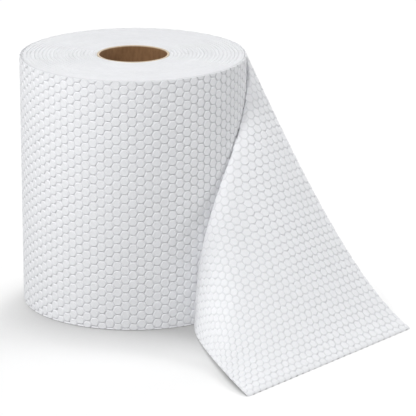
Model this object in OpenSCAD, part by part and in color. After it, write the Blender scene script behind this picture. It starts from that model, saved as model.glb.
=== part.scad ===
// Disposable towel roll standing on its end, with its loose end drawn off and laid down beside it.
// The web is one continuous strip: the wound turns and the loose end are one piece, on a cardboard core.
// Origin on the roll's axis at its lower end, +Z up the axis, +X to the side where the web leaves.

/* [Web] */
// Width of the towel web, which is the roll's height
web_w = 200; // [150:1:260]
// Thickness of the embossed web
web_t = 0.9; // [0.6:0.1:2]

/* [Roll] */
// Diameter over the outermost turn
roll_d = 180; // [130:1:240]
// Softened outer edge of both ends
rim_soft = 0.8; // [0.4:0.1:2]
// Spacing of the ridges that the turns' edges make on both ends
turn_pitch = 3; // [2:0.1:6]
// Width of the furrow between two ridges
furrow_w = 1.2; // [0.6:0.1:1.8]
// Depth of that furrow
furrow_depth = 0.6; // [0.3:0.1:1.2]

/* [Core] */
// Outside diameter of the cardboard core
core_d = 57; // [38:0.5:76]
// Wall of the core
core_wall = 1.6; // [1:0.1:4]
// Gap between the core and the first turn
core_gap = 0.1; // [0.05:0.05:0.3]

/* [Loose end] */
// Angle at which the upper edge leaves the roll, from the right side towards the back
leave_upper = 18; // [0:1:30]
// Angle at which the lower edge leaves the roll
leave_lower = -55; // [-70:1:-20]
// How sharply the line of leaving swings back near the upper edge
leave_bend = 2.5; // [1.5:0.1:4]
// How far the web runs on along the roll's tangent
leave_reach = 17; // [8:1:40]
// Near corner of the cut edge, sideways from the roll's right side
cut_side = -1.5; // [-20:0.5:40]
// Near corner of the cut edge, in front of the roll
cut_front = 147; // [110:1:200]
// Turn of the cut edge away from the roll's front
cut_turn = 50; // [30:1:70]
// Slope at which the web comes down on the cut edge
land_slope = 23; // [10:1:40]
// Length of the straight run-out to the cut edge, at the lower edge
land_lower = 14; // [8:1:60]
// Length of that run-out at the upper edge
land_upper = 78; // [40:1:120]
// How far the loose end's edges sit in from the roll's ends
edge_in = 0.5; // [0.2:0.1:1.5]

/* [Hidden] */
$fn = 96;
roll_r = roll_d / 2;
bore_r = core_d / 2 + core_gap;
cut = 1; // overshoot of a cutting shape past the face it cuts
first_furrow = bore_r + turn_pitch / 2;
half_turns = floor((roll_r - rim_soft - furrow_w / 2 - first_furrow) / (turn_pitch / 2));
root_r = roll_r - web_t; // radius at which the loose end's middle starts, under the outer face
loose_w = web_w - 2 * edge_in;
steps_along = 32;
steps_across = 16;

// Outline of the wound turns from bore to outer face, with softened outer edges
module wound_section() {
    polygon([
        [bore_r, 0],
        [roll_r - rim_soft, 0],
        [roll_r, rim_soft],
        [roll_r, web_w - rim_soft],
        [roll_r - rim_soft, web_w],
        [bore_r, web_w]
    ]);
}

// Section of the furrow between two ridges, its mouth on the end face at z = 0
module furrow_section() {
    translate([-furrow_w / 2, -furrow_depth])
        square([furrow_w, furrow_depth + cut]);
}

// One side of the spiral furrow: half circles about one of two centres that lie half a pitch apart.
// The two sides together wind outwards, clockwise from above.
module half_furrows(side) {
    mirror([0, 1, 0])
        translate([side * turn_pitch / 2, 0, 0])
            rotate(side * 180)
                rotate_extrude(angle = 180)
                    for (k = [side : 2 : half_turns])
                        translate([first_furrow + k * turn_pitch / 2, 0])
                            furrow_section();
}

module wound_turns() {
    difference() {
        rotate_extrude()
            wound_section();
        translate([0, 0, web_w])
            half_furrows(0);
        translate([0, 0, web_w])
            half_furrows(1);
        mirror([0, 0, 1])
            half_furrows(0);
        mirror([0, 0, 1])
            half_furrows(1);
    }
}

function mix(a, b, f) = a + (b - a) * f;
function unit(p) = p / norm(p);

// A thread runs along the web at the share v of its width: it leaves the roll on the tangent and
// comes down on the cut edge, as one cubic curve with four control points.
function leave_angle(v) = mix(leave_lower, leave_upper, pow(v, leave_bend));
function leave_point(v) = [
    root_r * cos(leave_angle(v)),
    root_r * sin(leave_angle(v)),
    edge_in + loose_w * v
];
function leave_heading(v) = [sin(leave_angle(v)), -cos(leave_angle(v)), 0];
function cut_point(v) = [
    roll_r + cut_side + loose_w * v * cos(cut_turn),
    -roll_r - cut_front + loose_w * v * sin(cut_turn),
    web_t / 2
];
land_heading = [
    sin(cut_turn) * cos(land_slope),
    -cos(cut_turn) * cos(land_slope),
    -sin(land_slope)
];
function thread_controls(v) = [
    leave_point(v),
    leave_point(v) + leave_reach * leave_heading(v),
    cut_point(v) - mix(land_lower, land_upper, v) * land_heading,
    cut_point(v)
];
function cubic(c, u) =
    pow(1 - u, 3) * c[0] + 3 * pow(1 - u, 2) * u * c[1] + 3 * (1 - u) * u * u * c[2] + pow(u, 3) * c[3];

// Middle surface of the loose end on a grid, its normals, and its two faces half a thickness away
middle = [
    for (i = [0 : steps_along])
        [for (j = [0 : steps_across]) cubic(thread_controls(j / steps_across), i / steps_along)]
];
function along(i, j) = middle[min(i + 1, steps_along)][j] - middle[max(i - 1, 0)][j];
function across(i, j) = middle[i][min(j + 1, steps_across)] - middle[i][max(j - 1, 0)];
function face_point(i, j, side) =
    let (p = middle[i][j] + side * web_t / 2 * unit(cross(along(i, j), across(i, j))))
    [p.x, p.y, max(p.z, 0)];
row = steps_across + 1;
layer = row * (steps_along + 1);
function at(i, j, top) = top * layer + i * row + j;

module loose_end() {
    points = [
        for (side = [-1, 1])
            for (i = [0 : steps_along])
                for (j = [0 : steps_across])
                    face_point(i, j, side)
    ];
    under = [
        for (i = [0 : steps_along - 1])
            for (j = [0 : steps_across - 1])
                [at(i, j, 0), at(i + 1, j, 0), at(i + 1, j + 1, 0), at(i, j + 1, 0)]
    ];
    over = [
        for (i = [0 : steps_along - 1])
            for (j = [0 : steps_across - 1])
                [at(i, j, 1), at(i, j + 1, 1), at(i + 1, j + 1, 1), at(i + 1, j, 1)]
    ];
    long_edges = [
        for (i = [0 : steps_along - 1])
            for (face = [
                [at(i, 0, 0), at(i, 0, 1), at(i + 1, 0, 1), at(i + 1, 0, 0)],
                [at(i, steps_across, 0), at(i + 1, steps_across, 0),
                 at(i + 1, steps_across, 1), at(i, steps_across, 1)]
            ])
                face
    ];
    short_edges = [
        for (j = [0 : steps_across - 1])
            for (face = [
                [at(0, j, 0), at(0, j + 1, 0), at(0, j + 1, 1), at(0, j, 1)],
                [at(steps_along, j, 0), at(steps_along, j, 1),
                 at(steps_along, j + 1, 1), at(steps_along, j + 1, 0)]
            ])
                face
    ];
    polyhedron(points, concat(under, over, long_edges, short_edges), convexity = 6);
}

module towel_web() {
    color("whitesmoke") {
        wound_turns();
        loose_end();
    }
}

module cardboard_core() {
    color("peru")
        difference() {
            cylinder(h = web_w, d = core_d);
            translate([0, 0, -cut])
                cylinder(h = web_w + 2 * cut, d = core_d - 2 * core_wall);
        }
}

towel_web();
cardboard_core();
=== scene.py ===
# %% [markdown]
# A towel roll stands on its end, and its loose end is drawn off and laid down in front of it. The packed
# model is the frame: it fixes where the roll, the core and the loose end are, in metres. Everything below
# dresses that frame, so the first step loads it and keeps its box for the last step.

# %% Load the frame
import bpy
import numpy as np
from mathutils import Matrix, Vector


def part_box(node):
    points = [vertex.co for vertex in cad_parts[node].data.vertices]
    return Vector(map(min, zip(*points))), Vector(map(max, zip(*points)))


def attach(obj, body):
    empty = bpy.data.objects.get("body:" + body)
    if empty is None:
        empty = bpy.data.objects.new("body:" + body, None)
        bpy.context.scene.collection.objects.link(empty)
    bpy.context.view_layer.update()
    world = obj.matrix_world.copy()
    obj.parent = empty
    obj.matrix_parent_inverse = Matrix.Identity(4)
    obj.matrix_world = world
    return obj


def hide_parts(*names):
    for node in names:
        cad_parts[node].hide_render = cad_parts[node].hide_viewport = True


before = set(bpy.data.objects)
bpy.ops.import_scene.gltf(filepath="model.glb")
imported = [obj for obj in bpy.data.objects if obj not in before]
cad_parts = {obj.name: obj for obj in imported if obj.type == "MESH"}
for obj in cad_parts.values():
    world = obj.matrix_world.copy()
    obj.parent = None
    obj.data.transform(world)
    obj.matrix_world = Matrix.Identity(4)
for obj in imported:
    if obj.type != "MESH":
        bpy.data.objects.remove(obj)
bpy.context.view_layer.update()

web_low, web_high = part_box("towel_web")
_, core_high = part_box("cardboard_core")
ROLL_R = -web_low.x
WEB_W = web_high.z
CORE_R = core_high.x
print(f"roll radius {ROLL_R:.4f} m, web width {WEB_W:.4f} m, core radius {CORE_R:.4f} m")

# %% [markdown]
# The towel is one long web. Paper is easiest to think of flat: a point of the web has a place s along it
# and a place w across it, and one function says where that point is in the room. Then the honeycomb can
# be drawn on the flat web and carried onto the roll and the loose end alike, with no break where the web
# leaves the roll. On the roll the web is a spiral that loses one thickness a turn, which is how it passes
# under its own loose end.

# %% The web on the roll
MM = 0.001
WEB_T = 0.9 * MM
EDGE_IN = 0.5 * MM
STRIP_W = WEB_W - 2 * EDGE_IN
TURN_R = ROLL_R - WEB_T / 2
LEAVE_UPPER, LEAVE_LOWER, LEAVE_BEND = 18.0, -55.0, 2.5


def mix(a, b, share):
    """The value that lies the given share of the way from a to b."""
    return a + (b - a) * share


def leave_angle(v):
    """Angle at which the web leaves the roll: from lower to upper by a power of the width's share v."""
    return np.radians(mix(LEAVE_LOWER, LEAVE_UPPER, v ** LEAVE_BEND))


def on_roll(angle, v):
    """Middle of the web on the roll: a spiral that loses one thickness a turn from the leaving line."""
    turns = (angle - leave_angle(v)) / (2 * np.pi)
    radius = TURN_R - WEB_T * turns
    return np.stack([radius * np.cos(angle), radius * np.sin(angle), EDGE_IN + STRIP_W * v], axis=-1)


print(f"the web leaves the roll between {LEAVE_LOWER} and {LEAVE_UPPER} degrees from the right")

# %% [markdown]
# The loose end hangs between two lines: the leaving line on the roll and the straight cut edge on the
# floor. Each thread of the paper leaves on the roll's tangent and comes down on the cut edge at a gentle
# slope, which is just what a cubic curve with four control points does. A cloth simulation could drop the
# sheet instead, but stiff paper keeps the set of the roll, and the curve holds that set exactly where the
# frame has it.

# %% The loose end as threads
LEAVE_REACH = 17 * MM
CUT_SIDE, CUT_FRONT = -1.5 * MM, 147 * MM
CUT_TURN, LAND_SLOPE = np.radians(50), np.radians(23)
LAND_LOWER, LAND_UPPER = 14 * MM, 78 * MM


def loose_thread(u, v):
    """Cubic curve from the roll to the cut edge: u runs along a thread, v is its share of the width."""
    angle = leave_angle(v)
    start = on_roll(angle, v)
    heading = np.stack([np.sin(angle), -np.cos(angle), np.zeros_like(angle)], axis=-1)
    end = np.stack([ROLL_R + CUT_SIDE + STRIP_W * v * np.cos(CUT_TURN),
                    -ROLL_R - CUT_FRONT + STRIP_W * v * np.sin(CUT_TURN),
                    np.full_like(v, WEB_T / 2)], axis=-1)
    landing = np.array([np.sin(CUT_TURN) * np.cos(LAND_SLOPE),
                        -np.cos(CUT_TURN) * np.cos(LAND_SLOPE),
                        -np.sin(LAND_SLOPE)])
    after = start + LEAVE_REACH * heading
    before = end - mix(LAND_LOWER, LAND_UPPER, v)[..., None] * landing
    u = u[..., None]
    near_roll = (1 - u) ** 3 * start + 3 * (1 - u) ** 2 * u * after
    return near_roll + 3 * (1 - u) * u ** 2 * before + u ** 3 * end


def even_out(points):
    """Respaces a grid along its first axis to steps of equal length, and gives the whole lengths."""
    steps = np.linalg.norm(np.diff(points, axis=0), axis=-1)
    length = np.concatenate([np.zeros_like(steps[:1]), np.cumsum(steps, axis=0)])
    share = length / length[-1]
    lane = 2.0 * np.arange(points.shape[1])
    wanted = np.linspace(0, 1, len(points))[:, None] + lane
    known = (share + lane).T.ravel()
    spaced = [np.interp(wanted.T.ravel(), known, points[..., k].T.ravel()) for k in range(3)]
    return np.stack(spaced, axis=-1).reshape(points.shape[1], len(points), 3).swapaxes(0, 1), length[-1]


THREADS = 201
WRAP_STEPS, THREAD_STEPS = 120, 400
v_row = np.linspace(0, 1, THREADS)[None, :]
fall = np.linspace(1, 0, WRAP_STEPS)[:-1, None]
wrapped = on_roll(mix(leave_angle(v_row), np.radians(LEAVE_UPPER), fall), v_row + 0 * fall)
u_column, v_grid = np.meshgrid(np.linspace(0, 1, THREAD_STEPS), v_row[0], indexing="ij")
loose_grid, _ = even_out(np.concatenate([wrapped, loose_thread(u_column, v_grid)]))
across_grid, _ = even_out(loose_grid.swapaxes(0, 1))
loose_grid, thread_lengths = even_out(across_grid.swapaxes(0, 1))
LOOSE_L = float(thread_lengths.mean())
print(f"threads from {thread_lengths.min():.4f} to {thread_lengths.max():.4f} m, taken as {LOOSE_L:.4f} m")

# %% [markdown]
# The two stretches now become one long grid of the web's middle surface, with a normal at every point.
# Reading between the grid's points gives the place of any (s, w), and a lift along the normal gives both
# faces.

# %% One surface for the whole web
STEP_S = LOOSE_L / (len(loose_grid) - 1)
UNDERLAP = np.radians(9)
INDEX_MARGIN = 1.000001  # keeps the next grid point inside the grid
roll_steps = int((2 * np.pi + UNDERLAP) * ROLL_R / STEP_S)
S_FIRST = -roll_steps * STEP_S
s_roll = S_FIRST + STEP_S * np.arange(roll_steps)
roll_angle = np.radians(LEAVE_UPPER) - s_roll / TURN_R
web_middle = np.concatenate([on_roll(roll_angle[:, None], v_row + 0 * roll_angle[:, None]), loose_grid])
web_normal = np.cross(np.gradient(web_middle, axis=1), np.gradient(web_middle, axis=0))
web_normal /= np.linalg.norm(web_normal, axis=-1, keepdims=True)


def web_point(s, w, lift):
    """Place of the web's point (s, w): read between grid points, lifted along the normal."""
    i = np.clip((s - S_FIRST) / STEP_S, 0, len(web_middle) - INDEX_MARGIN)
    j = np.clip(w / WEB_W, 0, 1) * (THREADS - INDEX_MARGIN)
    i0, j0 = i.astype(int), j.astype(int)
    fi, fj = (i - i0)[..., None], (j - j0)[..., None]

    def between(grid):
        """A grid's value at (i, j), from the four points around it."""
        near = mix(grid[i0, j0], grid[i0, j0 + 1], fj)
        far = mix(grid[i0 + 1, j0], grid[i0 + 1, j0 + 1], fj)
        return mix(near, far, fi)

    place = between(web_middle) + lift[..., None] * between(web_normal)
    # Nothing goes under the floor
    place[..., 2] = np.maximum(place[..., 2], 0)
    return place


print(f"web grid {web_middle.shape[0]} by {web_middle.shape[1]}, step {STEP_S / MM:.2f} mm")

# %% [markdown]
# The emboss is a honeycomb of soft pads with pressed lines between them. Bump could fake it, but the pads
# catch light and scallop the edges, so they are real geometry: one small cell of rings, repeated on the
# flat web. A cell that hangs over the web's edge is squeezed back onto the edge, so the pads look cut
# there, as by a knife.

# %% Honeycomb on the flat web
PAD_FLATS = 7.25 * MM
PAD_SIDE = PAD_FLATS / np.sqrt(3)
COLUMN_STEP = 1.5 * PAD_SIDE
TOP_ROW_SHARE = 0.43
COLUMN_S = 0.6 * MM
PAD_INSETS = np.array([0.0, 0.2, 0.8]) * MM


def honeycomb_cells():
    """Centres of all cells: columns 1.5 sides apart along s, with every other column half a cell higher."""
    columns = np.arange(int(S_FIRST / COLUMN_STEP) + 2, int(LOOSE_L / COLUMN_STEP) + 2)
    rows = np.arange(-1, int(WEB_W / PAD_FLATS) + 2)
    column, row = np.meshgrid(columns, rows, indexing="ij")
    s = COLUMN_S + COLUMN_STEP * column
    w = WEB_W + PAD_FLATS * (0.5 - TOP_ROW_SHARE - row + 0.5 * (column % 2))
    cells = np.stack([s, w], axis=-1).reshape(-1, 2)
    in_width = np.abs(cells[:, 1] - WEB_W / 2) < (WEB_W + PAD_FLATS) / 2
    in_length = cells[:, 0] < LOOSE_L + PAD_SIDE
    return cells[in_width & in_length]


cells = honeycomb_cells()
print(f"{len(cells)} cells on the web")

# %% [markdown]
# Each cell is three hexagon rings and a middle point. Repeating it leaves the same corner several times
# over, so a weld merges what coincides. Slivers that the squeeze at the edges has flattened are dropped.

# %% Cells to triangles
CLOSENESS = 1e-6
ROUNDING_SHIFT = 0.382  # keeps the borders of rounding off round numbers
SLIVER_AREA = 1e-12


def weld(points, triangles):
    """Merges points that share a rounded place, drops collapsed triangles and tells the points kept."""
    keys = np.floor(points / CLOSENESS + ROUNDING_SHIFT).astype(np.int64)
    _, first, back = np.unique(keys, axis=0, return_index=True, return_inverse=True)
    triangles = back.reshape(-1)[triangles]
    a, b, c = triangles.T
    return points[first], triangles[(a != b) & (b != c) & (c != a)], first


def cell_pattern():
    """Points, triangles and ring numbers of one cell: rings of six corners round a middle point."""
    ring = np.radians(60 * np.arange(6))
    sizes = 1 - PAD_INSETS / (PAD_FLATS / 2)
    hexagon = np.stack([np.cos(ring), np.sin(ring)], axis=-1)
    corners = (sizes[:, None, None] * PAD_SIDE * hexagon).reshape(-1, 2)
    k = np.arange(6)
    after = (k + 1) % 6
    band = np.concatenate([np.stack([k, after, after + 6], axis=-1),
                           np.stack([k, after + 6, k + 6], axis=-1)])
    bands = [band + 6 * number for number in range(len(sizes) - 1)]
    last = 6 * (len(sizes) - 1)
    middle = np.stack([k + last, after + last, np.full(6, len(corners))], axis=-1)
    rings = np.append(np.repeat(np.arange(len(sizes)), 6), len(sizes))
    return np.concatenate([corners, [[0.0, 0.0]]]), np.concatenate(bands + [middle]), rings


def flat_mesh(some_cells):
    """The given cells laid out on the flat web, squeezed inside its edges and welded."""
    pattern, triangles, rings = cell_pattern()
    points = (some_cells[:, None, :] + pattern).reshape(-1, 2)
    points = np.stack([np.clip(points[:, 0], S_FIRST, LOOSE_L), np.clip(points[:, 1], 0, WEB_W)], axis=-1)
    offsets = len(pattern) * np.arange(len(some_cells))
    points, triangles, kept = weld(points, (triangles + offsets[:, None, None]).reshape(-1, 3))
    a, b, c = (points[triangles[:, k]] for k in range(3))
    area = np.abs((b - a)[:, 0] * (c - a)[:, 1] - (b - a)[:, 1] * (c - a)[:, 0]) / 2
    return points, triangles[area > SLIVER_AREA], np.tile(rings, len(some_cells))[kept]


print(f"one cell has {len(cell_pattern()[1])} triangles")

# %% [markdown]
# A sheet of paper has two faces and a thin rim. Both faces are the flat mesh, lifted half a thickness to
# either side, and the rim joins them wherever a triangle has no neighbour. A pressed line is thin and
# lies off the web's middle: inwards on the roll, so that the outside shows pads. Off the roll the loose
# end shows its inner side to us, and there the lines change over smoothly, so that this side shows pads
# as well. The rims of the pads are marked sharp, so that smooth shading stops there and the pads stay
# flat.

# %% Helpers that make a sheet and a mesh object
PAD_RISE = 0.05 * MM
PRESSED_T = 0.15 * MM
PRESS_SHIFT = 0.5 * MM
CHANGE_FROM, CHANGE_OVER = 4 * MM, 26 * MM
RING_PRESS = np.array([1.0, 0.88, 0.0, 0.0])


def open_edges(triangles):
    """Directed edges that only one triangle uses, in that triangle's own direction."""
    edges = np.concatenate([triangles[:, [0, 1]], triangles[:, [1, 2]], triangles[:, [2, 0]]])
    _, place, uses = np.unique(np.sort(edges, axis=1), axis=0, return_index=True, return_counts=True)
    return edges[place[uses == 1]]


def press_shift(s, w):
    """How far a pressed line lies off the web's middle: a smooth step from inwards to outwards."""
    left_roll = (np.radians(LEAVE_UPPER) - leave_angle(w / WEB_W)) * TURN_R
    share = np.clip((s - left_roll - CHANGE_FROM) / CHANGE_OVER, 0, 1)
    return PRESS_SHIFT * (2 * share ** 2 * (3 - 2 * share) - 1)


def embossed_sheet(some_cells):
    """Both faces and the rim over some cells: points, triangles, (s, w), groove and sharp edges."""
    flat, triangles, rings = flat_mesh(some_cells)
    s, w = flat.T
    groove = RING_PRESS[rings]
    half = WEB_T / 2 + PAD_RISE
    shift = press_shift(s, w)
    outer = web_point(s, w, mix(half, shift + PRESSED_T / 2, groove))
    inner = web_point(s, w, mix(-half, shift - PRESSED_T / 2, groove))
    count = len(flat)
    a, b = open_edges(triangles).T
    rim = np.concatenate([np.stack([b, a, a + count], axis=-1),
                          np.stack([b, a + count, b + count], axis=-1)])
    everything = np.concatenate([triangles, triangles[:, ::-1] + count, rim])
    sides = np.concatenate([triangles[:, [0, 1]], triangles[:, [1, 2]], triangles[:, [2, 0]]])
    pad_edge = np.all(rings[sides] == len(PAD_INSETS) - 1, axis=1)
    hard = np.concatenate([np.stack([a, b], axis=-1), sides[pad_edge]])
    hard = np.concatenate([hard, hard + count])
    return np.concatenate([outer, inner]), everything, np.tile(flat, (2, 1)), np.tile(groove, 2), hard


def make_piece(name, points, triangles, flat=None, groove=None, hard=None):
    """A smooth mesh object of numpy points and triangles, with the web's coordinates where it has them."""
    mesh = bpy.data.meshes.new(name)
    mesh.vertices.add(len(points))
    mesh.vertices.foreach_set("co", points.astype(np.float32).ravel())
    mesh.loops.add(3 * len(triangles))
    mesh.loops.foreach_set("vertex_index", triangles.astype(np.int32).ravel())
    mesh.polygons.add(len(triangles))
    mesh.polygons.foreach_set("loop_start", np.arange(0, 3 * len(triangles), 3, dtype=np.int32))
    mesh.update(calc_edges=True)
    mesh.shade_smooth()
    if flat is not None:
        corner_places = flat[triangles.ravel()].astype(np.float32)
        mesh.uv_layers.new(name="web").data.foreach_set("uv", corner_places.ravel())
    if groove is not None:
        mesh.attributes.new("groove", "FLOAT", "POINT").data.foreach_set("value", groove.astype(np.float32))
    if hard is not None:
        ends = np.zeros(2 * len(mesh.edges), np.int32)
        mesh.edges.foreach_get("vertices", ends)
        ends = np.sort(ends.reshape(-1, 2), axis=1).astype(np.int64)
        hard = np.sort(hard, axis=1)
        is_hard = np.isin(ends[:, 0] * len(points) + ends[:, 1], hard[:, 0] * len(points) + hard[:, 1])
        mesh.attributes.new("sharp_edge", "BOOLEAN", "EDGE").data.foreach_set("value", is_hard)
    piece = bpy.data.objects.new(name, mesh)
    bpy.context.scene.collection.objects.link(piece)
    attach(piece, "root")
    print(f"{name}: {len(points)} points, {len(triangles)} triangles")
    return piece


print(f"pressed lines are {PRESSED_T / MM:.2f} mm thick in a web of {WEB_T / MM:.2f} mm")

# %% [markdown]
# The outermost turn hugs the roll, and the loose end is the rest of the same web. They are parted along
# the pressed lines where the cells lift off the roll, so the seam lies hidden in a groove.

# %% The outermost turn and the loose end
LIFT_OFF = 0.25 * MM
cell_place = web_point(cells[:, 0], cells[:, 1], np.zeros(len(cells)))
lifted = (cells[:, 0] > 0) & (np.hypot(cell_place[:, 0], cell_place[:, 1]) > TURN_R + LIFT_OFF)
cell_leave = leave_angle(np.clip(cells[:, 1] / WEB_W, 0, 1))
behind = np.radians(LEAVE_UPPER) - cells[:, 0] / TURN_R - cell_leave
on_turn = ~lifted & (behind < 2 * np.pi + UNDERLAP)
outer_turn = make_piece("outer_turn", *embossed_sheet(cells[on_turn]))
loose_end = make_piece("loose_end", *embossed_sheet(cells[lifted]))
for piece in (outer_turn, loose_end):
    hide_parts("towel_web")

# %% [markdown]
# Under the outermost turn are the others. All that shows of them is their edges on both ends of the roll,
# wound in a spiral and standing in soft ridges. One closed profile does it, carried round the axis: up
# the bore, out over the ridges, down the side and back under. The lines of the ridges lose one pitch a
# turn, so they join end to start.

# %% The wound turns
TURN_PITCH = 3 * MM
RIDGE_DEPTH = 0.95 * MM
BORE_GAP = 0.1 * MM
BORE_R = CORE_R + BORE_GAP
RIDGE_AT = np.array([0.0, 0.09, 0.2, 0.5, 0.8, 0.91])
FURROW_HALF = 0.25
OUTER_SOFT, BORE_SOFT = 0.9 * MM, 0.6 * MM
RIM_SHARE = 0.8
TURNS_IN = 1.4
TUCK_FROM, TUCK_OVER = np.radians(14), np.radians(12)
COLUMNS = 240
SIDE_ROWS = np.linspace(0.97, 0.03, 7)[:, None]


def turns_radius(angle, v):
    """Outside of the wound turns: just inside the outermost turn, stepping in under the web's inner end."""
    passed = np.mod(angle - leave_angle(v), 2 * np.pi)
    tucked = np.clip((UNDERLAP + TUCK_FROM - passed) / TUCK_OVER, 0, 1)
    tucked = tucked ** 2 * (3 - 2 * tucked)
    return ROLL_R - WEB_T * (TURNS_IN + passed / (2 * np.pi) + tucked)


def ridge_height(radius, angle, outside):
    """Height of the end face: rounded ridges along a spiral, uneven by slow waves, soft at both rims."""
    phase = np.mod((radius - BORE_R) / TURN_PITCH + angle / (2 * np.pi), 1.0)
    furrow = np.clip(1 - np.minimum(phase, 1 - phase) / FURROW_HALF, 0, 1) ** 1.3
    slow = 0.72 + 0.28 * np.sin(2 * angle + radius * 310) * np.cos(3 * angle - radius * 170)
    outer_rim = np.clip(1 - (outside - radius) / OUTER_SOFT, 0, 1) ** 2
    bore_rim = np.clip(1 - (radius - BORE_R) / BORE_SOFT, 0, 1) ** 2
    return -RIDGE_DEPTH * np.maximum(furrow * slow, RIM_SHARE * (outer_rim + bore_rim))


def end_face(v):
    """Radius, angle and height of the ridge lines on one end, inner line first, every line one spiral."""
    angle = np.linspace(0, 2 * np.pi, COLUMNS + 1)[None, :]
    turns = np.arange(0, int((ROLL_R - BORE_R) / TURN_PITCH) + 3)
    line = (turns[:, None] + RIDGE_AT).reshape(-1, 1)
    outside = turns_radius(angle, np.full_like(angle, v))
    radius = np.clip(BORE_R + TURN_PITCH * (line - angle / (2 * np.pi)), BORE_R, outside)
    return radius, angle + 0 * radius, ridge_height(radius, angle, outside)


def wound_body():
    """Closed grid of the wound turns: upper end outwards, side, lower end inwards, and up the bore."""
    radius, angle, height = end_face(1.0)
    radius_low, _, height_low = end_face(0.0)
    side = turns_radius(angle[:1], SIDE_ROWS + 0 * angle[:1])
    rows_r = np.concatenate([radius, side, radius_low[::-1], radius[:1]])
    side_z = SIDE_ROWS * WEB_W + 0 * side
    rows_z = np.concatenate([WEB_W + height, side_z, -height_low[::-1], WEB_W + height[:1]])
    rows_a = angle[:1] + 0 * rows_r
    return np.stack([rows_r * np.cos(rows_a), rows_r * np.sin(rows_a), rows_z], axis=-1)


def grid_triangles(rows, columns):
    """Two triangles for each square of a grid of points."""
    corner = (np.arange(rows - 1)[:, None] * columns + np.arange(columns - 1)).ravel()
    return np.concatenate([np.stack([corner, corner + columns, corner + 1], axis=-1),
                           np.stack([corner + 1, corner + columns, corner + columns + 1], axis=-1)])


body_grid = wound_body()
body_points, body_triangles, _ = weld(body_grid.reshape(-1, 3), grid_triangles(*body_grid.shape[:2]))
wound_turns = make_piece("wound_turns", body_points, body_triangles)
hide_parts("towel_web")
print(f"open edges on the wound turns: {len(open_edges(body_triangles))}")

# %% [markdown]
# The core is a tube of brown paperboard, wound on the slant from strips, so a shallow seam climbs its
# wall. Its rim is cut, a little crushed, and rounded by handling: a profile carried round the axis gives
# all three.

# %% The cardboard core
CORE_WALL = 1.6 * MM
RIM_ROUND = 0.45 * MM
SEAM_LEAD = 88 * MM
SEAM_DEPTH = 0.22 * MM
SEAM_REACH = 1.1 * MM
CRUSH = 0.12 * MM
CORE_COLUMNS, RIM_POINTS, WALL_POINTS = 193, 9, 90


def core_grid():
    """Closed profile of the tube: rounded rim, outer wall, rounded foot, inner wall with a seam."""
    angle = np.linspace(0, 2 * np.pi, CORE_COLUMNS)[None, :]
    turn = np.linspace(0, np.pi, RIM_POINTS)
    rim_r = CORE_R - CORE_WALL / 2 - CORE_WALL / 2 * np.cos(turn)
    rim_z = WEB_W - RIM_ROUND * (1 - np.sin(turn))
    wall_r = np.full(WALL_POINTS, CORE_R - CORE_WALL)
    wall_z = np.linspace(RIM_ROUND, WEB_W - RIM_ROUND, WALL_POINTS)
    radius = np.concatenate([rim_r, [CORE_R], rim_r[::-1], wall_r])[:, None]
    height = np.concatenate([rim_z, [WEB_W / 2], WEB_W - rim_z[::-1], wall_z])[:, None]
    inner_share = np.sin(np.pi * np.linspace(0, 1, WALL_POINTS)) ** 0.25
    inner = np.concatenate([np.zeros(2 * RIM_POINTS + 1), inner_share])[:, None]
    seam = np.mod(height / SEAM_LEAD - angle / (2 * np.pi), 1.0)
    seam = np.exp(-(np.minimum(seam, 1 - seam) * SEAM_LEAD / SEAM_REACH) ** 2)
    crushed = CRUSH * np.sin(5 * angle + 1.0) * np.sin(2 * angle) * (height > WEB_W - RIM_ROUND)
    radius = radius + SEAM_DEPTH * seam * inner + 0 * angle
    height = height - np.abs(crushed) + 0 * angle
    return np.stack([radius * np.cos(angle), radius * np.sin(angle), height], axis=-1)


tube = core_grid()
tube_points, tube_triangles, _ = weld(np.concatenate([tube, tube[:1]]).reshape(-1, 3),
                                      grid_triangles(tube.shape[0] + 1, tube.shape[1]))
core_tube = make_piece("core_tube", tube_points, tube_triangles)
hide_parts("cardboard_core")
print(f"open edges on the core: {len(open_edges(tube_triangles))}")

# %% [markdown]
# Paper and board are both felts of fibre, so they share one effect: a fine cloud of fibres drawn out
# along one direction. It gives a mask for the colour and a height for the bump, and each material sets
# its own scale. A Mix node has sockets for every kind of data, so those for colour go by number.

# %% A node group for fibre
MIX_A, MIX_B, MIX_RESULT = 6, 7, 2


def new_node(tree, kind, **values):
    """A node whose named inputs and settings take the given values."""
    node = tree.nodes.new(kind)
    for key, value in values.items():
        if key in node.inputs.keys():
            node.inputs[key].default_value = value
        else:
            setattr(node, key, value)
    return node


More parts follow.
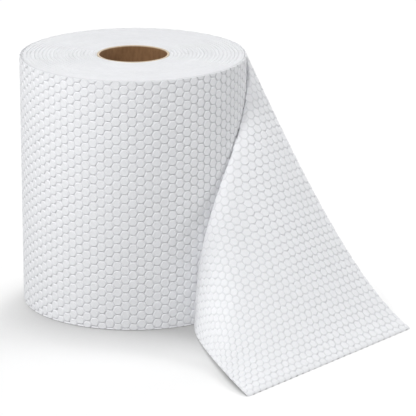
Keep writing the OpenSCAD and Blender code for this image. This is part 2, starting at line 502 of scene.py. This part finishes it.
def fibre_group():
    """Fibre: two noises on a stretched vector, mixed to a mask around one half."""
    tree = bpy.data.node_groups.new("fibre", "ShaderNodeTree")
    tree.interface.new_socket("Vector", in_out="INPUT", socket_type="NodeSocketVector")
    tree.interface.new_socket("Scale", in_out="INPUT", socket_type="NodeSocketFloat")
    tree.interface.new_socket("Mask", in_out="OUTPUT", socket_type="NodeSocketFloat")
    start, end = tree.nodes.new("NodeGroupInput"), tree.nodes.new("NodeGroupOutput")
    fine = new_node(tree, "ShaderNodeTexNoise", Detail=6.0, Roughness=0.65)
    broad = new_node(tree, "ShaderNodeTexNoise", Detail=2.0, Roughness=0.5)
    eighth = new_node(tree, "ShaderNodeMath", operation="MULTIPLY")
    eighth.inputs[1].default_value = 0.125
    both = new_node(tree, "ShaderNodeMath", operation="MULTIPLY_ADD")
    both.inputs[1].default_value = 0.65
    share = new_node(tree, "ShaderNodeMath", operation="MULTIPLY")
    share.inputs[1].default_value = 0.35
    tree.links.new(start.outputs["Vector"], fine.inputs["Vector"])
    tree.links.new(start.outputs["Vector"], broad.inputs["Vector"])
    tree.links.new(start.outputs["Scale"], fine.inputs["Scale"])
    tree.links.new(start.outputs["Scale"], eighth.inputs[0])
    tree.links.new(eighth.outputs[0], broad.inputs["Scale"])
    tree.links.new(broad.outputs["Fac"], share.inputs[0])
    tree.links.new(fine.outputs["Fac"], both.inputs[0])
    tree.links.new(share.outputs[0], both.inputs[2])
    tree.links.new(both.outputs[0], end.inputs["Mask"])
    return tree


FIBRE = fibre_group()
print("node group:", FIBRE.name)

# %% [markdown]
# The towel is matt white tissue. The pads are loose and white, and the pressed lines are thinner and a
# little greyer; their colour is darkened further as painted shade in the grooves. Fine fibre roughens
# the surface, drawn out across the web the way creped paper is.

# %% Towel material
TISSUE_GREY, TISSUE_WHITE = (0.80, 0.807, 0.826), (0.845, 0.852, 0.872)
PRESSED_LINE_SHADE = (0.87, 0.87, 0.875, 1)


def material(name, roughness):
    """An empty node material with a matt Principled shader, its tree and the shader."""
    made = bpy.data.materials.new(name)
    made.use_nodes = True
    shader = made.node_tree.nodes["Principled BSDF"]
    shader.inputs["Roughness"].default_value = roughness
    shader.inputs["Specular IOR Level"].default_value = 0.2
    return made, made.node_tree, shader


def add_fibre(tree, vector, stretch, scale):
    """The fibre group on a vector that a Mapping node stretches."""
    mapping = new_node(tree, "ShaderNodeMapping", Scale=stretch)
    fibre = new_node(tree, "ShaderNodeGroup", node_tree=FIBRE)
    fibre.inputs["Scale"].default_value = scale
    tree.links.new(vector, mapping.inputs["Vector"])
    tree.links.new(mapping.outputs["Vector"], fibre.inputs["Vector"])
    return fibre.outputs["Mask"]


def add_ramp(tree, fac, low, high, from_colour, to_colour):
    """A colour ramp between two colours over part of the mask's range."""
    ramp = tree.nodes.new("ShaderNodeValToRGB")
    first, last = ramp.color_ramp.elements
    first.position = low
    first.color = (*from_colour, 1)
    last.position = high
    last.color = (*to_colour, 1)
    tree.links.new(fac, ramp.inputs["Fac"])
    return ramp.outputs["Color"]


def add_bump(tree, shader, height, distance, strength):
    """Bump from a height into the shader's normal."""
    bump = new_node(tree, "ShaderNodeBump", Distance=distance, Strength=strength)
    tree.links.new(height, bump.inputs["Height"])
    tree.links.new(bump.outputs["Normal"], shader.inputs["Normal"])


def towel_material():
    """White tissue with pressed lines greyed by painted shade, and fibre across the web."""
    made, tree, shader = material("towel_tissue", 0.92)
    web = new_node(tree, "ShaderNodeUVMap", uv_map="web")
    mask = add_fibre(tree, web.outputs["UV"], (1.6, 0.7, 1.0), 1400.0)
    tissue = add_ramp(tree, mask, 0.3, 0.7, TISSUE_GREY, TISSUE_WHITE)
    # The groove attribute darkens the pressed lines: painted shade in the grooves, over the paper's own
    # slight grey.
    groove = new_node(tree, "ShaderNodeAttribute", attribute_name="groove")
    painted_groove_shade = new_node(tree, "ShaderNodeMix", data_type="RGBA", blend_type="MULTIPLY")
    painted_groove_shade.inputs[MIX_B].default_value = PRESSED_LINE_SHADE
    tree.links.new(groove.outputs["Fac"], painted_groove_shade.inputs[0])
    tree.links.new(tissue, painted_groove_shade.inputs[MIX_A])
    tree.links.new(painted_groove_shade.outputs[MIX_RESULT], shader.inputs["Base Color"])
    add_bump(tree, shader, mask, 0.0001, 0.5)
    return made


towel_tissue = towel_material()
for piece in (outer_turn, loose_end):
    piece.data.materials.append(towel_tissue)
print("material:", towel_tissue.name)

# %% [markdown]
# On the ends we see cut edges of the same tissue. Between the ridges of the mesh lie finer lines, one for
# each turn, which are too small to model: a wave along the spiral gives them as bump, broken up by fibre,
# and its low parts are coloured darker as painted shade in the fine furrows. Near the outside the colour
# is darkened as painted shade in the gap under the outermost turn.

# %% Turn edge material
FINE_PITCH = 0.75 * MM
EDGE_DASH = 0.018
EDGE_GREY, EDGE_WHITE = (0.72, 0.727, 0.746), (0.825, 0.832, 0.852)
GAP_SHADE = 0.9
GAP_FROM, GAP_AT = ROLL_R - 3.2 * MM, ROLL_R - 2.2 * MM


def edge_material():
    """Cut tissue edges: spiral lines and the gap near the outside as painted shade, with fibre tone."""
    made, tree, shader = material("towel_turn_edges", 0.95)
    place = tree.nodes.new("ShaderNodeTexCoord")
    split = tree.nodes.new("ShaderNodeSeparateXYZ")
    flat = new_node(tree, "ShaderNodeVectorMath", operation="MULTIPLY")
    flat.inputs[1].default_value = (1, 1, 0)
    radius = new_node(tree, "ShaderNodeVectorMath", operation="LENGTH")
    turn = new_node(tree, "ShaderNodeMath", operation="ARCTAN2")
    phase = new_node(tree, "ShaderNodeMath", operation="MULTIPLY_ADD")
    phase.inputs[1].default_value = 2 * np.pi / FINE_PITCH
    wave = new_node(tree, "ShaderNodeMath", operation="SINE")
    tree.links.new(place.outputs["Object"], split.inputs[0])
    tree.links.new(place.outputs["Object"], flat.inputs[0])
    tree.links.new(flat.outputs["Vector"], radius.inputs[0])
    tree.links.new(split.outputs["Y"], turn.inputs[0])
    tree.links.new(split.outputs["X"], turn.inputs[1])
    tree.links.new(radius.outputs["Value"], phase.inputs[0])
    tree.links.new(turn.outputs[0], phase.inputs[2])
    tree.links.new(phase.outputs[0], wave.inputs[0])
    polar = tree.nodes.new("ShaderNodeCombineXYZ")
    tree.links.new(radius.outputs["Value"], polar.inputs["X"])
    tree.links.new(turn.outputs[0], polar.inputs["Y"])
    tree.links.new(split.outputs["Z"], polar.inputs["Z"])
    mask = add_fibre(tree, polar.outputs[0], (1, EDGE_DASH, 1), 900.0)
    height = new_node(tree, "ShaderNodeMath", operation="MULTIPLY_ADD")
    height.inputs[1].default_value = 0.12
    tree.links.new(wave.outputs[0], height.inputs[0])
    tree.links.new(mask, height.inputs[2])
    # Colour follows the height, so the fine furrows are darker: painted shade, mixed with the fibre's own
    # tone.
    tissue = add_ramp(tree, height.outputs[0], 0.25, 0.75, EDGE_GREY, EDGE_WHITE)
    # The gap near the outside is darkened: painted shade under the outermost turn.
    gap = tree.nodes.new("ShaderNodeMapRange")
    gap.inputs["From Min"].default_value = GAP_FROM
    gap.inputs["From Max"].default_value = GAP_AT
    shade = new_node(tree, "ShaderNodeMix", data_type="RGBA", blend_type="MULTIPLY")
    shade.inputs[MIX_B].default_value = (GAP_SHADE, GAP_SHADE, GAP_SHADE, 1)
    tree.links.new(radius.outputs["Value"], gap.inputs["Value"])
    tree.links.new(gap.outputs["Result"], shade.inputs[0])
    tree.links.new(tissue, shade.inputs[MIX_A])
    tree.links.new(shade.outputs[MIX_RESULT], shader.inputs["Base Color"])
    add_bump(tree, shader, height.outputs[0], 0.0004, 0.28)
    return made


wound_turns.data.materials.append(edge_material())
print("material:", wound_turns.data.materials[0].name)

# %% [markdown]
# Core board is brown paper in several plies: long fibres in lighter and darker browns, and a paler cut
# rim where the plies show. The seam between two strips is in the mesh, so the material adds only the
# fibre and the rim.

# %% Core board material
BOARD_DARK, BOARD_LIGHT = (0.165, 0.085, 0.038), (0.265, 0.148, 0.072)
RIM_DARK, RIM_LIGHT = (0.58, 0.47, 0.34), (0.72, 0.61, 0.47)
PALE_FROM, PALE_AT = WEB_W - 1.1 * MM, WEB_W - 0.3 * MM


def core_material():
    """Brown board: fibre drawn out up the tube in two browns, and a paler rim by height."""
    made, tree, shader = material("core_board", 0.85)
    place = tree.nodes.new("ShaderNodeTexCoord")
    mask = add_fibre(tree, place.outputs["Object"], (1, 1, 0.35), 420.0)
    board = add_ramp(tree, mask, 0.32, 0.68, BOARD_DARK, BOARD_LIGHT)
    cut_rim = add_ramp(tree, mask, 0.3, 0.7, RIM_DARK, RIM_LIGHT)
    split = tree.nodes.new("ShaderNodeSeparateXYZ")
    rim = tree.nodes.new("ShaderNodeMapRange")
    rim.inputs["From Min"].default_value = PALE_FROM
    rim.inputs["From Max"].default_value = PALE_AT
    pale = new_node(tree, "ShaderNodeMix", data_type="RGBA")
    tree.links.new(place.outputs["Object"], split.inputs[0])
    tree.links.new(split.outputs["Z"], rim.inputs["Value"])
    tree.links.new(rim.outputs["Result"], pale.inputs[0])
    tree.links.new(board, pale.inputs[MIX_A])
    tree.links.new(cut_rim, pale.inputs[MIX_B])
    tree.links.new(pale.outputs[MIX_RESULT], shader.inputs["Base Color"])
    add_bump(tree, shader, mask, 0.0002, 0.5)
    return made


core_tube.data.materials.append(core_material())
print("material:", core_tube.data.materials[0].name)

# %% [markdown]
# The stage is a plain white floor that fades into a white world, as in a catalogue picture. To the camera
# the floor is part lit white and part glow, and the glow takes over a short way from the roll, so the
# open floor is white. Close by, an ambient occlusion node paints shadow: it greys the floor that the roll
# shuts in, which deepens the soft shadow.

# %% Floor and world
FLOOR_REACH = 6.0
FLOOR_GLOW, GLOW_STRENGTH = 0.12, 1.03
SHADED_MIDDLE = (0.04, -0.15)
WHITE_FROM, WHITE_AT = 0.14, 0.27
SHADE_REACH = 0.075
SHUT_IN, OPEN = 0.42, 0.96
SHUT_IN_GREY, OPEN_WHITE = (0.4, 0.4, 0.4), (0.97, 0.97, 0.97)
FLOOR_BOUNCE = 0.42
AMBIENT = 0.1


def ray_share(tree):
    """One for rays from the camera, or from gloss or glass, that should see the plain white background."""
    light_path = tree.nodes.new("ShaderNodeLightPath")
    first = new_node(tree, "ShaderNodeMath", operation="MAXIMUM")
    second = new_node(tree, "ShaderNodeMath", operation="MAXIMUM")
    tree.links.new(light_path.outputs["Is Camera Ray"], first.inputs[0])
    tree.links.new(light_path.outputs["Is Glossy Ray"], first.inputs[1])
    tree.links.new(first.outputs[0], second.inputs[0])
    tree.links.new(light_path.outputs["Is Transmission Ray"], second.inputs[1])
    return second.outputs[0]


def floor_material():
    """Matt white, with painted shadow where the roll shuts it in, that glows for the camera further off."""
    made = bpy.data.materials.new("stage_floor")
    made.use_nodes = True
    tree = made.node_tree
    tree.nodes.clear()
    lit = tree.nodes.new("ShaderNodeBsdfDiffuse")
    glow = new_node(tree, "ShaderNodeEmission", Color=(1, 1, 1, 1), Strength=GLOW_STRENGTH)
    part = new_node(tree, "ShaderNodeMath", operation="MULTIPLY")
    place = tree.nodes.new("ShaderNodeTexCoord")
    away = new_node(tree, "ShaderNodeVectorMath", operation="LENGTH")
    far = new_node(tree, "ShaderNodeMapRange", interpolation_type="SMOOTHSTEP")
    far.inputs["From Min"].default_value = WHITE_FROM
    far.inputs["From Max"].default_value = WHITE_AT
    far.inputs["To Min"].default_value = FLOOR_GLOW
    front = new_node(tree, "ShaderNodeMapping", Location=(-SHADED_MIDDLE[0], -SHADED_MIDDLE[1], 0))
    tree.links.new(place.outputs["Object"], front.inputs["Vector"])
    tree.links.new(front.outputs["Vector"], away.inputs[0])
    tree.links.new(away.outputs["Value"], far.inputs["Value"])
    tree.links.new(far.outputs["Result"], part.inputs[1])
    # Painted shadow: the ambient occlusion greys the floor close to the roll.
    closed = new_node(tree, "ShaderNodeAmbientOcclusion", Distance=SHADE_REACH)
    shade = add_ramp(tree, closed.outputs["AO"], SHUT_IN, OPEN, SHUT_IN_GREY, OPEN_WHITE)
    seen = new_node(tree, "ShaderNodeMix", data_type="RGBA")
    seen.inputs[MIX_A].default_value = (FLOOR_BOUNCE, FLOOR_BOUNCE, FLOOR_BOUNCE, 1)
    tree.links.new(shade, seen.inputs[MIX_B])
    tree.links.new(seen.outputs[MIX_RESULT], lit.inputs["Color"])
    blend = tree.nodes.new("ShaderNodeMixShader")
    out = tree.nodes.new("ShaderNodeOutputMaterial")
    straight = ray_share(tree)
    tree.links.new(straight, seen.inputs[0])
    tree.links.new(straight, part.inputs[0])
    tree.links.new(part.outputs[0], blend.inputs[0])
    tree.links.new(lit.outputs[0], blend.inputs[1])
    tree.links.new(glow.outputs[0], blend.inputs[2])
    tree.links.new(blend.outputs[0], out.inputs["Surface"])
    return made


def white_world():
    """A dim white world that the camera, and rays from gloss or glass, see at full white."""
    made = bpy.data.worlds.new("studio")
    made.use_nodes = True
    tree = made.node_tree
    tree.nodes.clear()
    dim = new_node(tree, "ShaderNodeBackground", Color=(1, 1, 1, 1), Strength=AMBIENT)
    white = new_node(tree, "ShaderNodeBackground", Color=(1, 1, 1, 1), Strength=1.0)
    choose = tree.nodes.new("ShaderNodeMixShader")
    out = tree.nodes.new("ShaderNodeOutputWorld")
    tree.links.new(ray_share(tree), choose.inputs[0])
    tree.links.new(dim.outputs[0], choose.inputs[1])
    tree.links.new(white.outputs[0], choose.inputs[2])
    tree.links.new(choose.outputs[0], out.inputs["Surface"])
    return made


floor_corners = FLOOR_REACH * np.array([(-1, -1, 0), (1, -1, 0), (1, 1, 0), (-1, 1, 0)])
floor_mesh = bpy.data.meshes.new("floor")
floor_mesh.from_pydata(floor_corners.tolist(), [], [(0, 1, 2, 3)])
floor = bpy.data.objects.new("floor", floor_mesh)
bpy.context.scene.collection.objects.link(floor)
floor_mesh.materials.append(floor_material())
bpy.context.scene.world = white_world()
print(f"stage: {floor.name} and {bpy.context.scene.world.name}")

# %% [markdown]
# A broad light from overhead would wash the emboss out. So two small boxes in front, high and towards the
# left, are the keys: light that skims the pads from one side gives each a bright and a dark flank. Three
# larger boxes, from both sides and from behind, fill what the keys leave dark and brighten the end of the
# roll. The camera stands where the photo's did, by a fit to the rims and the sides of the roll.

# %% Lamps and camera
def soft_box(name, place, aim, size, power):
    """A square area lamp that faces a point."""
    lamp = bpy.data.lights.new(name, "AREA")
    lamp.shape = "SQUARE"
    lamp.size = size
    lamp.energy = power
    box = bpy.data.objects.new(name, lamp)
    box.location = place
    towards = np.array(aim) - np.array(place)
    flat = np.hypot(towards[0], towards[1])
    box.rotation_euler = (np.arctan2(flat, -towards[2]), 0, np.arctan2(towards[1], towards[0]) - np.pi / 2)
    bpy.context.scene.collection.objects.link(box)


ROLL_MIDDLE = (0.03, -0.05, 0.1)
soft_box("left_key", (-0.75, -1.15, 1.4), ROLL_MIDDLE, 0.3, 14.5)
soft_box("front_key", (-0.17, -1.4, 1.2), ROLL_MIDDLE, 0.3, 12.5)
soft_box("left_fill", (-1.9, 0.2, 0.6), ROLL_MIDDLE, 0.8, 12.5)
soft_box("right_fill", (1.8, 0.35, 0.75), ROLL_MIDDLE, 0.5, 17)
soft_box("back_fill", (0.45, 1.35, 0.8), ROLL_MIDDLE, 0.5, 14)

CAMERA_PITCH, CAMERA_AWAY = np.radians(16.71), 2.399
AIM_X, AIM_Z = 0.05884, 0.07285
FOCAL_PIXELS, PHOTO_PIXELS, SENSOR = 3000.0, 416, 36.0
lens = bpy.data.cameras.new("camera")
lens.sensor_width = SENSOR
lens.lens = FOCAL_PIXELS / PHOTO_PIXELS * SENSOR
camera = bpy.data.objects.new("camera", lens)
camera.location = (AIM_X, -CAMERA_AWAY * np.cos(CAMERA_PITCH), AIM_Z + CAMERA_AWAY * np.sin(CAMERA_PITCH))
camera.rotation_euler = (np.pi / 2 - CAMERA_PITCH, 0, 0)
bpy.context.scene.collection.objects.link(camera)
bpy.context.scene.camera = camera
bpy.context.scene.view_settings.view_transform = "Standard"
print(f"lens {lens.lens:.1f} mm")
